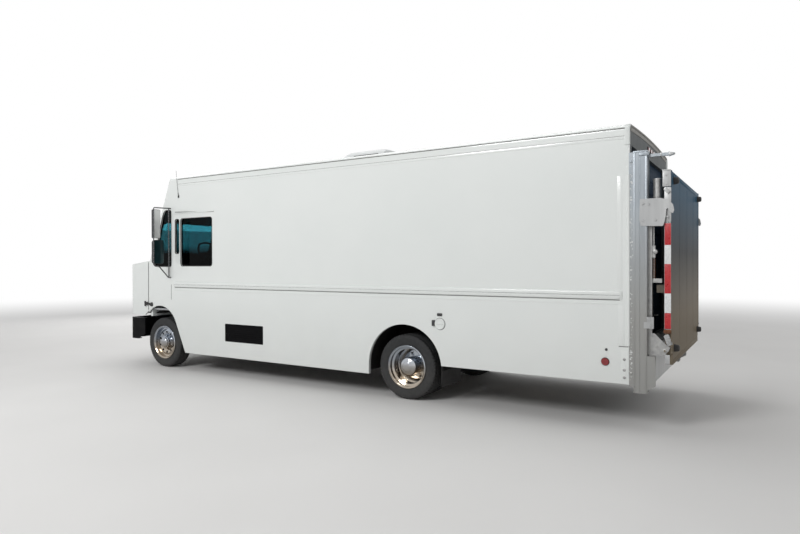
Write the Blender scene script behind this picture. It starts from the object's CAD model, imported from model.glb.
"""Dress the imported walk-in food truck: finishes, trim, wheels, lift gate and cab.

Lengths are metres in the row frame: +X forward, +Y left, +Z up.
"""

import logging
from dataclasses import dataclass
from enum import Enum

import bpy
import numpy as np
from mathutils import Matrix


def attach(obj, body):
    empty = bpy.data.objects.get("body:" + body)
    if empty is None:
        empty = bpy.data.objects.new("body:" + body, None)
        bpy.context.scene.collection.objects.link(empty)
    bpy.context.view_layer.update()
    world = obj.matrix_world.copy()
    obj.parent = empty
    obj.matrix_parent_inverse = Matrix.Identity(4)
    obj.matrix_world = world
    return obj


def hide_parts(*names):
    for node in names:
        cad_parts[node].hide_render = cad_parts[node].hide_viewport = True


log = logging.getLogger("food_truck")
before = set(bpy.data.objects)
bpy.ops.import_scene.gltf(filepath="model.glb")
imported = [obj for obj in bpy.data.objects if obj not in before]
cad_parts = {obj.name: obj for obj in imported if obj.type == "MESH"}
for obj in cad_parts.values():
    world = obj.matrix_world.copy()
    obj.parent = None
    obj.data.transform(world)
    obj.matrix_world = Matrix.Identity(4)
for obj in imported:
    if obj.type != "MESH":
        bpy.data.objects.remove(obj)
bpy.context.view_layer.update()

Vec = tuple[float, float, float]
Span = tuple[float, float]
SIDES = {"left": 1.0, "right": -1.0}
HALF_WIDTH = 1.19
SHEET = 0.0022
SHEET_EDGE = 0.001


# Surfaces

@dataclass
class Surface:
    """A closed or open skin: points as an (n, 3) array and faces as index lists."""

    points: np.ndarray
    faces: list[list[int]]

    def moved(self, offset: Vec) -> "Surface":
        """Return the surface shifted along X, Y and Z."""
        return Surface(self.points + np.array(offset), self.faces)

    def mirrored(self) -> "Surface":
        """Return the surface mirrored in the plane y = 0, its faces turned to stay outward."""
        return Surface(self.points * (1.0, -1.0, 1.0), [face[::-1] for face in self.faces])

    def flipped(self) -> "Surface":
        """Return the surface with its faces turned round; each keeps its first corner, so its triangles."""
        return Surface(self.points, [face[:1] + face[:0:-1] for face in self.faces])

    def on_side(self, side: float) -> "Surface":
        """Return the surface for the left side (1), or its mirror image for the right side (-1)."""
        return self if side > 0 else self.mirrored()


def joined(*parts: Surface) -> Surface:
    """Join surfaces into one.

    Args:
        parts: The surfaces to join.

    Returns:
        One surface that holds them all.
    """
    points, faces, start = [], [], 0
    for part in parts:
        points.append(part.points)
        faces += [[index + start for index in face] for face in part.faces]
        start += len(part.points)
    return Surface(np.concatenate(points), faces)


def both(*parts: Surface) -> Surface:
    """Join surfaces built for the left side with their mirror images.

    Args:
        parts: The surfaces of the left side.

    Returns:
        One surface for both sides.
    """
    one = joined(*parts)
    return joined(one, one.mirrored())


def grid(points: np.ndarray, loop: bool = False) -> Surface:
    """Skin a two-parameter grid of points P(u, v) with quads; v goes round, so each row closes.

    Args:
        points: Array of shape (u, v, 3).
        loop: Whether the last row joins the first; otherwise one face closes each end row.

    Returns:
        The skin, its faces outward where v turns left about the direction of u.
    """
    rows, cols = points.shape[:2]
    index = np.arange(rows * cols).reshape(rows, cols)
    base, down = (index, np.roll(index, -1, 0)) if loop else (index[:-1], index[1:])
    quads = np.stack([base, np.roll(base, -1, 1), np.roll(down, -1, 1), down], -1)
    faces = quads.reshape(-1, 4).tolist()
    if not loop:
        faces += [index[0, ::-1].tolist(), index[-1].tolist()]
    return Surface(points.reshape(-1, 3), faces)


def rect_corners(width: float, height: float) -> np.ndarray:
    """Return a rectangle's corners, turning left.

    Args:
        width: Full width.
        height: Full height.

    Returns:
        Array (4, 2).
    """
    return np.array([[1, 1], [-1, 1], [-1, -1], [1, -1]]) * (width / 2, height / 2)


def round_rect(width: float, height: float, radius: float, steps: int = 6) -> np.ndarray:
    """Return the outline of a rectangle with quarter-circle corners, turning left.

    Args:
        width: Full width.
        height: Full height.
        radius: Corner radius.
        steps: Points in each corner, less one.

    Returns:
        Array of shape (4 * (steps + 1), 2).
    """
    turn = np.linspace(0, np.pi / 2, steps + 1)
    centres = np.array([[1, 1], [-1, 1], [-1, -1], [1, -1]]) * (width / 2 - radius, height / 2 - radius)
    angles = turn[None] + np.arange(4)[:, None] * np.pi / 2
    arcs = radius * np.stack([np.cos(angles), np.sin(angles)], -1)
    return (centres[:, None, :] + arcs).reshape(-1, 2)


def circle(radius: float, count: int = 32) -> np.ndarray:
    """Return a circle's points, turning left.

    Args:
        radius: The radius.
        count: How many points.

    Returns:
        Array of shape (count, 2).
    """
    turn = np.arange(count) * 2 * np.pi / count
    return radius * np.stack([np.cos(turn), np.sin(turn)], -1)


def points_of(x: np.ndarray | float, y: np.ndarray | float, z: np.ndarray | float) -> np.ndarray:
    """Stack coordinates into points, each an array or one number for all.

    Args:
        x: The points' X.
        y: The points' Y.
        z: The points' Z.

    Returns:
        Array (..., 3).
    """
    return np.stack(np.broadcast_arrays(x, y, z), -1)


def outline_normals(outline: np.ndarray) -> np.ndarray:
    """Return the outward unit normals of a closed outline that turns left.

    Args:
        outline: Array of shape (n, 2).

    Returns:
        Array of shape (n, 2).
    """
    along = np.roll(outline, -1, 0) - np.roll(outline, 1, 0)
    normal = np.stack([along[:, 1], -along[:, 0]], -1)
    return normal / np.maximum(np.linalg.norm(normal, axis=1, keepdims=True), 1e-9)


@dataclass(frozen=True)
class Seat:
    """A flat place on the truck: an origin with a right-handed u, v and outward axis."""

    origin: Vec
    u: Vec
    v: Vec

    @classmethod
    def left(cls, x: float, z: float, y: float = HALF_WIDTH) -> "Seat":
        """Return a seat that faces left, on the body's side unless y is given."""
        return cls((x, y, z), (-1, 0, 0), (0, 0, 1))

    @classmethod
    def rear(cls, y: float, z: float, x: float) -> "Seat":
        """Return a seat that faces rearward."""
        return cls((x, y, z), (0, -1, 0), (0, 0, 1))

    @classmethod
    def front(cls, y: float, z: float, x: float) -> "Seat":
        """Return a seat that faces forward."""
        return cls((x, y, z), (0, 1, 0), (0, 0, 1))

    @classmethod
    def top(cls, x: float, y: float, z: float) -> "Seat":
        """Return a seat that faces up."""
        return cls((x, y, z), (1, 0, 0), (0, 1, 0))

    def out(self) -> np.ndarray:
        """Return the outward axis, u x v."""
        return np.cross(np.array(self.u, float), np.array(self.v, float))

    def place(self, flat: np.ndarray, height: np.ndarray | float) -> np.ndarray:
        """Map flat points and heights to the row frame: P = o + a u + b v + h (u x v).

        Args:
            flat: Array (..., 2) of a and b.
            height: Heights h, one for each point or one for all.

        Returns:
            Array (..., 3).
        """
        u, v = np.array(self.u, float), np.array(self.v, float)
        height = np.broadcast_to(height, flat.shape[:-1])
        return np.array(self.origin) + flat[..., :1] * u + flat[..., 1:] * v + height[..., None] * self.out()


def plate(seat: Seat, outline: np.ndarray, height: float, edge: float = 0.002, steps: int = 3) -> Surface:
    """Raise a plate on a seat, its outer edge rounded by a quarter circle.

    The foot row is the outline itself. Row t above it is the outline moved in by
    e (1 - cos t), at height h - e (1 - sin t).

    Args:
        seat: Where it stands.
        outline: Closed outline that turns left.
        height: Thickness above the seat.
        edge: Radius of the rounded edge.
        steps: Rows in the rounded edge.

    Returns:
        The closed plate.
    """
    normal = outline_normals(outline)
    turn = np.linspace(0, np.pi / 2, steps + 1)
    inset = np.concatenate([[0.0], edge * (1 - np.cos(turn))])
    level = np.concatenate([[0.0], height - edge * (1 - np.sin(turn))])
    return grid(np.stack([seat.place(outline - normal * i, h) for i, h in zip(inset, level)]))


def dome(seat: Seat, radius: float, height: float, count: int = 20, rows: int = 5) -> Surface:
    """Raise a round cap: r = R cos t, h = H sin t.

    Args:
        seat: Where it stands.
        radius: Radius at the foot.
        height: Height at the middle.
        count: Points around.
        rows: Rows from foot to middle.

    Returns:
        The closed dome.
    """
    turn = np.linspace(0, np.pi / 2 * 0.94, rows)
    rings = [seat.place(circle(radius * np.cos(t), count), height * np.sin(t)) for t in turn]
    return grid(np.stack(rings))


def studs(seats: np.ndarray, normal: Vec, radius: float, height: float, count: int = 8) -> Surface:
    """Copy one low dome to many places at once.

    Args:
        seats: Array (n, 3) of foot centres.
        normal: Outward direction, along one of the row axes.
        radius: Foot radius.
        height: Dome height.
        count: Points around each dome.

    Returns:
        All the domes as one surface.
    """
    axis = int(np.argmax(np.abs(normal)))
    sign = float(np.sign(normal[axis]))
    u = np.eye(3)[(axis + 1) % 3]
    v = np.eye(3)[(axis + 2) % 3] * sign
    one = dome(Seat((0, 0, 0), tuple(u), tuple(v)), radius, height, count, 3)
    points = (np.asarray(seats, float)[:, None, :] + one.points[None]).reshape(-1, 3)
    size = len(one.points)
    faces = [[i + size * n for i in face] for n in range(len(seats)) for face in one.faces]
    return Surface(points, faces)


def sweep(path: np.ndarray, section: np.ndarray, up: Vec, closed: bool = False) -> Surface:
    """Carry a closed section along a path: P(u, v) = path(u) + a side(u) + b up'(u).

    side is up x tangent and up' is tangent x side, so the section stays upright.

    Args:
        path: Array (n, 3).
        section: Closed outline (m, 2) that turns left, seen with the path coming nearer.
        up: Direction that the section's second coordinate keeps to.
        closed: Whether the path is a loop.

    Returns:
        The swept skin, capped unless the path is a loop.
    """
    if closed:
        tangent = np.roll(path, -1, 0) - np.roll(path, 1, 0)
    else:
        tangent = np.gradient(path, axis=0)
    tangent = tangent / np.linalg.norm(tangent, axis=1, keepdims=True)
    side = np.cross(np.array(up, float), tangent)
    side = side / np.linalg.norm(side, axis=1, keepdims=True)
    rise = np.cross(tangent, side)
    points = path[:, None] + section[None, :, :1] * side[:, None] + section[None, :, 1:] * rise[:, None]
    return grid(points, closed)


def rounded_path(points: np.ndarray, radius: float, steps: int = 5, closed: bool = False) -> np.ndarray:
    """Round a polyline's corners with quadratic arcs that start radius before each corner.

    Args:
        points: Array (n, 3) of corners.
        radius: Distance from a corner at which its arc starts.
        steps: Points in each arc, less one.
        closed: Whether the line is a loop.

    Returns:
        Array (m, 3).
    """
    before, after = np.roll(points, 1, 0), np.roll(points, -1, 0)

    def toward(other: np.ndarray) -> np.ndarray:
        """Return points at radius from each corner toward the other one.

        Args:
            other: The neighbouring corners.

        Returns:
            The points.
        """
        step = other - points
        reach = np.linalg.norm(step, axis=1, keepdims=True)
        return points + step / np.maximum(reach, 1e-9) * np.minimum(radius, reach / 2)

    start, end = toward(before), toward(after)
    t = np.linspace(0, 1, steps + 1)[None, :, None]
    arcs = start[:, None] * (1 - t) ** 2 + points[:, None] * 2 * t * (1 - t) + end[:, None] * t**2
    if closed:
        return arcs.reshape(-1, 3)
    return np.concatenate([points[:1], arcs[1:-1].reshape(-1, 3), points[-1:]])


def spun(profile: np.ndarray, x: float, z: float, count: int = 96, closed: bool = True) -> Surface:
    """Turn a profile about a line along Y: P(u, v) = (x + r cos v, y, z + r sin v).

    Args:
        profile: Array (n, 2) of y and r; r at least a hair above 0.
        x: The axle's x.
        z: The axle's z.
        count: Points around.
        closed: Whether the profile is a closed ring section.

    Returns:
        The skin, outward where the profile's y falls along its outer side.
    """
    turn = -np.arange(count) * 2 * np.pi / count
    y = np.broadcast_to(profile[:, :1], (len(profile), count))
    r = profile[:, 1:]
    points = np.stack([x + r * np.cos(turn), y, z + r * np.sin(turn)], -1)
    return grid(points, closed)


# Finishes

class Pattern(Enum):
    """The texture that varies a finish."""

    CLOUD = "ShaderNodeTexNoise"
    SPANGLE = "ShaderNodeTexVoronoi"


Socket = bpy.types.NodeSocket
Value = bpy.types.NodeSocket | float | tuple[float, ...]


def opaque(colour: Vec) -> tuple[float, ...]:
    """Return a colour with full alpha.

    Args:
        colour: Red, green and blue.

    Returns:
        The colour and a 1.
    """
    return (*colour, 1.0)


@dataclass
class Nodes:
    """A node tree, and the steps that the finishes, the floor and the world share."""

    tree: bpy.types.NodeTree

    def fill(self, node: bpy.types.Node, inputs: dict[str | int, Value]) -> bpy.types.Node:
        """Set a node's inputs, or link them where the value is a socket.

        Args:
            node: The node.
            inputs: Names or numbers of its inputs, with their values.

        Returns:
            The same node.
        """
        for name, value in inputs.items():
            if isinstance(value, Socket):
                self.tree.links.new(value, node.inputs[name])
            else:
                node.inputs[name].default_value = value
        return node

    def add(self, kind: str, inputs: dict[str | int, Value] | None = None, **options: str) -> bpy.types.Node:
        """Add a node.

        Args:
            kind: The node's type name.
            inputs: Names or numbers of its inputs, with their values.
            options: The node's own settings.

        Returns:
            The node.
        """
        node = self.tree.nodes.new(kind)
        for name, option in options.items():
            setattr(node, name, option)
        return self.fill(node, inputs or {})

    def math(self, operation: str, *values: Value) -> Socket:
        """Return the result of one operation on some values."""
        return self.add("ShaderNodeMath", dict(enumerate(values)), operation=operation).outputs[0]

    def ranged(self, value: Value, source: Span, target: Span = (0.0, 1.0), **options: str) -> Socket:
        """Map a value from one range to another and hold it there.

        Args:
            value: The value.
            source: The range it comes from.
            target: The range it goes to.
            options: The node's own settings.

        Returns:
            The mapped value.
        """
        inputs = {0: value, "From Min": source[0], "From Max": source[1],
                  "To Min": target[0], "To Max": target[1]}
        return self.add("ShaderNodeMapRange", inputs, **options).outputs[0]

    def blend(self, share: Value, first: Value, second: Value) -> Socket:
        """Return a mix of two colours, by the share of the second."""
        return self.add("ShaderNodeMix", {0: share, 6: first, 7: second}, data_type="RGBA").outputs[2]

    def noise(self, place: Socket, scale: float, detail: float) -> Socket:
        """Return a noise from 0 to 1 over a place."""
        inputs = {"Vector": place, "Scale": scale, "Detail": detail}
        return self.add("ShaderNodeTexNoise", inputs).outputs["Fac"]

    def bump(self, height: Socket, strength: float) -> Socket:
        """Return the normal that a height of up to 2 mm gives."""
        inputs = {"Height": height, "Strength": strength, "Distance": 0.002}
        return self.add("ShaderNodeBump", inputs).outputs[0]


@dataclass
class Mapped(Nodes):
    """A material's tree with the Object coordinates: place as they are, scaled for the pattern."""

    stretch: Vec

    def __post_init__(self) -> None:
        """Add the coordinates."""
        self.place = self.add("ShaderNodeTexCoord").outputs["Object"]
        self.scaled = self.stretched(self.stretch)

    def stretched(self, scale: Vec) -> Socket:
        """Return the coordinates times a scale along each axis."""
        return self.add("ShaderNodeMapping", {"Vector": self.place, "Scale": scale}).outputs[0]

    def along(self, axis: str) -> Socket:
        """Return the coordinate along X, Y or Z."""
        return self.add("ShaderNodeSeparateXYZ", {0: self.place}).outputs[axis]


@dataclass(frozen=True)
class Finish:
    """A finish: two colours mixed by a pattern, a fine bump, and dust that thins with height."""

    name: str
    colour: Vec
    second: Vec
    roughness: Span = (0.3, 0.45)
    metallic: float = 0.0
    pattern: Pattern = Pattern.CLOUD
    scale: float = 6.0
    stretch: Vec = (1.0, 1.0, 1.0)
    bump: float = 0.04
    bump_scale: float = 180.0
    dust: float = 0.0
    dust_top: float = 1.2
    coat: float = 0.0
    specular: float = 0.5
    edge: float = 1.0

    def build(self) -> bpy.types.Material:
        """Build the node tree.

        Returns:
            The material.
        """
        made = bpy.data.materials.new(self.name)
        made.use_nodes = True
        nodes = Mapped(made.node_tree, self.stretch)
        value = nodes.add(self.pattern.value, {"Vector": nodes.scaled, "Scale": self.scale}).outputs["Color"]
        ramp = nodes.add("ShaderNodeValToRGB", {0: value})
        for stop, place, colour in zip(ramp.color_ramp.elements, (0.3, 0.7), (self.colour, self.second)):
            stop.position = place
            stop.color = opaque(colour)
        colour = self.tint(nodes, ramp.outputs[0])
        nodes.fill(made.node_tree.nodes["Principled BSDF"], {
            "Base Color": self.dusted(nodes, colour) if self.dust else colour,
            "Roughness": nodes.ranged(value, (0.0, 1.0), self.roughness),
            "Metallic": self.metallic,
            "Coat Weight": self.coat,
            "Coat Roughness": 0.08,
            "Specular IOR Level": self.specular,
            "Specular Tint": opaque((self.edge, self.edge, self.edge)),
            "Normal": self.relief(nodes),
        })
        return made

    def tint(self, nodes: Mapped, colour: Socket) -> Socket:
        """Return the colour after the finish's own markings; plain finishes have none."""
        return colour

    def dusted(self, nodes: Mapped, colour: Socket) -> Socket:
        """Mix in pale road dust, strongest near the ground and broken up by noise.

        Args:
            nodes: The node tree.
            colour: The colour below the dust.

        Returns:
            The dusted colour.
        """
        fade = nodes.ranged(nodes.along("Z"), (0.0, self.dust_top), (self.dust, 0.0))
        share = nodes.math("MULTIPLY", fade, nodes.noise(nodes.place, 4.0, 6.0))
        return nodes.blend(share, colour, opaque((0.40, 0.375, 0.34)))

    def relief(self, nodes: Mapped) -> Socket:
        """Return the normal of the fine bump."""
        return nodes.bump(nodes.noise(nodes.scaled, self.bump_scale, 3.0), self.bump)


@dataclass(frozen=True)
class Banded(Finish):
    """A finish crossed by soft upright bands, as a rolled sheet reflects its surroundings."""

    band: Vec = (0.3, 0.35, 0.45)
    band_scale: float = 2.2
    band_share: float = 0.5

    def tint(self, nodes: Mapped, colour: Socket) -> Socket:
        """Mix the band colour in with a noise that is stretched along Z.

        Args:
            nodes: The node tree.
            colour: The mixed colour.

        Returns:
            The banded colour.
        """
        noise = nodes.noise(nodes.stretched((1.0, 6.0, 0.25)), self.band_scale, 5.0)
        return nodes.blend(nodes.ranged(noise, (0.4, 0.7), (0.0, self.band_share)), colour, opaque(self.band))


@dataclass(frozen=True)
class Shaded(Banded):
    """A banded finish that changes colour between two heights, as metal or glass mirrors sky and ground."""

    low: Vec = (0.02, 0.02, 0.02)
    low_z: float = 0.8
    high_z: float = 1.6

    def tint(self, nodes: Mapped, colour: Socket) -> Socket:
        """Mix the low colour in below, along the object's Z.

        Args:
            nodes: The node tree.
            colour: The mixed colour.

        Returns:
            The shaded colour.
        """
        banded = Banded.tint(self, nodes, colour)
        share = nodes.ranged(nodes.along("Z"), (self.low_z, self.high_z))
        return nodes.blend(share, opaque(self.low), banded)


@dataclass(frozen=True)
class Mirroring(Shaded):
    """A shaded finish with a third colour above, as sheet metal mirrors ground, trees and sky."""

    top: Vec = (0.07, 0.15, 0.25)
    top_z: float = 2.6

    def tint(self, nodes: Mapped, colour: Socket) -> Socket:
        """Mix the top colour in from the shaded range's upper end to top_z.

        Args:
            nodes: The node tree.
            colour: The mixed colour.

        Returns:
            The shaded colour.
        """
        shaded = Shaded.tint(self, nodes, colour)
        share = nodes.ranged(nodes.along("Z"), (self.high_z, self.top_z))
        return nodes.blend(share, shaded, opaque(self.top))


@dataclass(frozen=True)
class Ribbed(Finish):
    """A finish with fine straight ribs, for lenses, grained plates and woven cloth."""

    ribs: float = 220.0
    rib_bump: float = 0.4
    axis: str = "X"

    def relief(self, nodes: Mapped) -> Socket:
        """Return the normal of ribs from a wave texture.

        Args:
            nodes: The node tree.

        Returns:
            The normal.
        """
        inputs = {"Vector": nodes.scaled, "Scale": self.ribs, "Distortion": 0.3}
        wave = nodes.add("ShaderNodeTexWave", inputs, bands_direction=self.axis)
        return nodes.bump(wave.outputs["Fac"], self.rib_bump)


@dataclass(frozen=True)
class Lined(Finish):
    """Body paint outside, with a grey lining on the inner faces and a dark one in the cab."""

    lining: Vec = (0.40, 0.41, 0.41)
    cab: Vec = (0.018, 0.018, 0.02)
    inner_y: float = 1.165
    cab_x: float = 1.93

    def tint(self, nodes: Mapped, colour: Socket) -> Socket:
        """Change the colour where |y| is less than inner_y, and again ahead of the cab's rear.

        Args:
            nodes: The node tree.
            colour: The mixed colour.

        Returns:
            The lined colour.
        """
        inside = nodes.math("LESS_THAN", nodes.math("ABSOLUTE", nodes.along("Y")), self.inner_y)
        ahead = nodes.math("GREATER_THAN", nodes.along("X"), self.cab_x)
        return nodes.blend(inside, colour, nodes.blend(ahead, opaque(self.lining), opaque(self.cab)))


@dataclass(frozen=True)
class Glass(Shaded):
    """Tinted glass: light that goes through takes the glass's colour."""

    refraction: float = 1.12

    def build(self) -> bpy.types.Material:
        """Build the node tree.

        Returns:
            The material.
        """
        made = super().build()
        inputs = made.node_tree.nodes["Principled BSDF"].inputs
        inputs["Transmission Weight"].default_value = 1.0
        inputs["IOR"].default_value = self.refraction
        return made


WHITE = (0.79, 0.815, 0.80)
WHITE_LIGHT = (1.0, 1.0, 1.0, 1.0)
FINISHES: dict[str, Finish] = {f.name: f for f in (
    Finish("body_white", WHITE, (0.76, 0.79, 0.775), (0.16, 0.26), scale=1.3, bump=0.03, dust=0.22,
           dust_top=1.1, coat=0.5),
    Lined("wall_white", WHITE, (0.76, 0.79, 0.775), (0.16, 0.26), scale=1.3, bump=0.03, dust=0.22,
          dust_top=1.1, coat=0.5),
    Lined("cap_paint", WHITE, (0.76, 0.79, 0.775), (0.25, 0.4), scale=1.3, bump=0.05,
          lining=(0.21, 0.20, 0.18), cab=(0.21, 0.20, 0.18), inner_y=1.15, specular=0.03, edge=0.3),
    Finish("frame_grey", (0.12, 0.13, 0.135), (0.18, 0.19, 0.19), (0.45, 0.65), 0.0, scale=7.0, bump=0.12,
           specular=0.03, edge=0.3),
    Banded("door_sheet", (0.030, 0.050, 0.082), (0.045, 0.068, 0.10), (0.28, 0.42), 0.10, scale=9.0,
           bump=0.08, band=(0.02, 0.035, 0.06), specular=0.002, edge=0.1),
    Finish("panel_white", (0.74, 0.77, 0.76), (0.69, 0.72, 0.71), (0.35, 0.5), scale=3.0, bump=0.06),
    Finish("unit_white", (0.66, 0.68, 0.68), (0.60, 0.62, 0.62), (0.35, 0.5), scale=4.0, bump=0.08),
    Finish("bumper_black", (0.008, 0.008, 0.009), (0.016, 0.016, 0.016), (0.35, 0.55), scale=7.0, bump=0.12,
           bump_scale=120.0, specular=0.03, edge=0.4),
    Finish("chassis_black", (0.018, 0.017, 0.017), (0.06, 0.045, 0.035), (0.55, 0.8), scale=9.0, bump=0.3,
           dust=0.5, dust_top=0.9),
    Finish("cast_dark", (0.06, 0.055, 0.052), (0.12, 0.08, 0.055), (0.6, 0.85), 0.6, scale=14.0, bump=0.5,
           bump_scale=90.0, dust=0.5, dust_top=0.8),
    Finish("pipe_steel", (0.26, 0.23, 0.20), (0.36, 0.30, 0.24), (0.45, 0.65), 0.8, scale=12.0, bump=0.25),
    Banded("bright_sheet", (0.40, 0.405, 0.405), (0.48, 0.485, 0.485), (0.25, 0.38), 0.5, scale=30.0,
           stretch=(1.0, 1.0, 0.08), bump=0.06, band=(0.26, 0.27, 0.28), band_share=0.5),
    Finish("steel_dull", (0.30, 0.30, 0.30), (0.44, 0.44, 0.43), (0.35, 0.55), 0.7, scale=26.0, bump=0.15,
           bump_scale=160.0),
    Finish("sealant", (0.72, 0.73, 0.73), (0.60, 0.61, 0.61), (0.5, 0.7), scale=60.0, bump=0.3),
    Finish("liner_black", (0.012, 0.012, 0.013), (0.02, 0.019, 0.018), (0.7, 0.9), scale=12.0, bump=0.25,
           dust=0.08, dust_top=0.8, specular=0.0),
    Finish("louvre_black", (0.003, 0.003, 0.0035), (0.006, 0.006, 0.0065), (0.45, 0.65), scale=20.0, bump=0.1,
           specular=0.04),
    Finish("seam_black", (0.01, 0.01, 0.011), (0.02, 0.02, 0.021), (0.6, 0.8), scale=40.0, bump=0.1),
    Finish("seam_grey", (0.10, 0.10, 0.10), (0.16, 0.155, 0.15), (0.6, 0.8), scale=18.0, bump=0.1),
    Shaded("mill_rail", (0.28, 0.31, 0.335), (0.36, 0.39, 0.415), (0.28, 0.42), 0.6, scale=40.0,
           stretch=(1.0, 1.0, 0.06), bump=0.1, band=(0.18, 0.205, 0.235), band_share=0.5,
           low=(0.31, 0.31, 0.30), low_z=1.1, high_z=2.2),
    Mirroring("deck_sheet", (0.040, 0.044, 0.046), (0.060, 0.064, 0.066), (0.24, 0.36), 0.08, scale=30.0,
              stretch=(1.0, 1.0, 0.05), bump=0.08, band=(0.09, 0.095, 0.10), band_scale=1.5, band_share=0.35,
              low=(0.22, 0.185, 0.14), low_z=1.10, high_z=1.75, top=(0.045, 0.10, 0.155), top_z=2.35,
              specular=0.002, edge=0.12),
    Shaded("floor_plate", (0.34, 0.35, 0.36), (0.46, 0.47, 0.48), (0.35, 0.55), 0.5, scale=20.0, bump=0.3,
           bump_scale=70.0, band=(0.3, 0.3, 0.31), low=(0.014, 0.014, 0.014), low_z=0.778, high_z=0.784),
    Shaded("chrome", (0.38, 0.415, 0.465), (0.30, 0.33, 0.38), (0.09, 0.16), 1.0, scale=5.0, bump=0.008,
           dust=0.10, dust_top=0.8, band=(0.56, 0.57, 0.58), band_scale=5.0, low=(0.40, 0.35, 0.29),
           low_z=0.30, high_z=0.46),
    Finish("tube_dark", (0.09, 0.092, 0.096), (0.14, 0.142, 0.146), (0.2, 0.34), 0.8, scale=30.0, bump=0.05),
    Shaded("mirror_face", (0.86, 0.87, 0.86), (0.82, 0.83, 0.82), (0.10, 0.16), 0.15, scale=3.0, bump=0.005,
           band=(0.80, 0.82, 0.82), low=(0.012, 0.035, 0.04), low_z=2.018, high_z=2.026),
    Finish("black_plastic", (0.022, 0.022, 0.024), (0.035, 0.035, 0.037), (0.42, 0.6), scale=40.0, bump=0.25,
           bump_scale=420.0),
    Finish("black_rubber", (0.02, 0.02, 0.021), (0.045, 0.043, 0.042), (0.6, 0.8), scale=25.0, bump=0.2),
    Finish("tyre_rubber", (0.018, 0.020, 0.022), (0.034, 0.035, 0.036), (0.6, 0.8), scale=30.0, bump=0.3,
           bump_scale=160.0, dust=0.13, dust_top=0.95, specular=0.25),
    Glass("dark_glass", (0.011, 0.080, 0.095), (0.014, 0.095, 0.112), (0.0, 0.01), scale=2.0, bump=0.002,
          specular=0.12, band=(0.008, 0.06, 0.085), low=(0.004, 0.02, 0.026), low_z=1.84, high_z=1.92),
    Glass("clear_glass", (0.70, 0.82, 0.84), (0.74, 0.86, 0.88), (0.0, 0.01), scale=2.0, bump=0.002,
          specular=0.3, band=(0.72, 0.83, 0.84), low=(0.70, 0.82, 0.84), low_z=1.3, high_z=2.3),
    Ribbed("red_lens", (0.20, 0.005, 0.008), (0.28, 0.008, 0.012), (0.08, 0.16), scale=30.0, coat=0.6,
           ribs=60.0, rib_bump=0.25, axis="Z"),
    Ribbed("amber_lens", (0.85, 0.28, 0.02), (0.95, 0.36, 0.04), (0.08, 0.16), scale=30.0, coat=0.6,
           ribs=60.0, rib_bump=0.25, axis="Y"),
    Ribbed("clear_lens", (0.62, 0.65, 0.68), (0.74, 0.77, 0.80), (0.04, 0.1), 0.35, scale=30.0, coat=0.8,
           ribs=42.0, rib_bump=0.2, axis="Y"),
    Ribbed("red_tape", (0.42, 0.008, 0.014), (0.52, 0.014, 0.02), (0.25, 0.4), 0.0, Pattern.SPANGLE, 90.0,
           ribs=70.0, rib_bump=0.15, axis="DIAGONAL"),
    Ribbed("white_tape", (0.70, 0.71, 0.71), (0.78, 0.79, 0.79), (0.25, 0.4), 0.0, Pattern.SPANGLE, 90.0,
           ribs=70.0, rib_bump=0.15, axis="DIAGONAL"),
    Finish("dash_plastic", (0.028, 0.029, 0.032), (0.042, 0.043, 0.046), (0.5, 0.68), scale=60.0, bump=0.4,
           bump_scale=500.0),
    Ribbed("seat_cloth", (0.035, 0.037, 0.045), (0.075, 0.078, 0.09), (0.8, 0.95), scale=120.0, ribs=180.0,
           rib_bump=0.6, axis="Y"),
    Finish("rust", (0.20, 0.075, 0.03), (0.10, 0.04, 0.02), (0.75, 0.95), scale=22.0, bump=0.5),
    Finish("knob_grey", (0.24, 0.25, 0.26), (0.30, 0.31, 0.32), (0.4, 0.55), 0.3, scale=22.0, bump=0.2),
)}
MADE: dict[str, bpy.types.Material] = {}


def material(name: str) -> bpy.types.Material:
    """Return a finish's material, built once.

    Args:
        name: The finish's name.

    Returns:
        The material.
    """
    if name not in MADE:
        MADE[name] = FINISHES[name].build()
    return MADE[name]


def make(name: str, surface: Surface, finish: str, body: str,
         sharp: float = 35.0) -> bpy.types.Object:
    """Turn a surface into a finished piece that rides on a body.

    Args:
        name: The piece's name.
        surface: Its skin.
        finish: Name of its finish.
        body: Body that carries it.
        sharp: Edges sharper than this many degrees stay crisp.

    Returns:
        The new object.
    """
    mesh = bpy.data.meshes.new(name)
    mesh.from_pydata(surface.points.tolist(), [], surface.faces)
    mesh.validate()
    mesh.polygons.foreach_set("use_smooth", np.ones(len(mesh.polygons), bool))
    mesh.set_sharp_from_angle(angle=np.radians(sharp))
    mesh.materials.append(material(finish))
    piece = bpy.data.objects.new(name, mesh)
    bpy.context.scene.collection.objects.link(piece)
    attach(piece, body)
    log.info("%s: %d faces on %s", name, len(surface.faces), body)
    return piece


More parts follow.
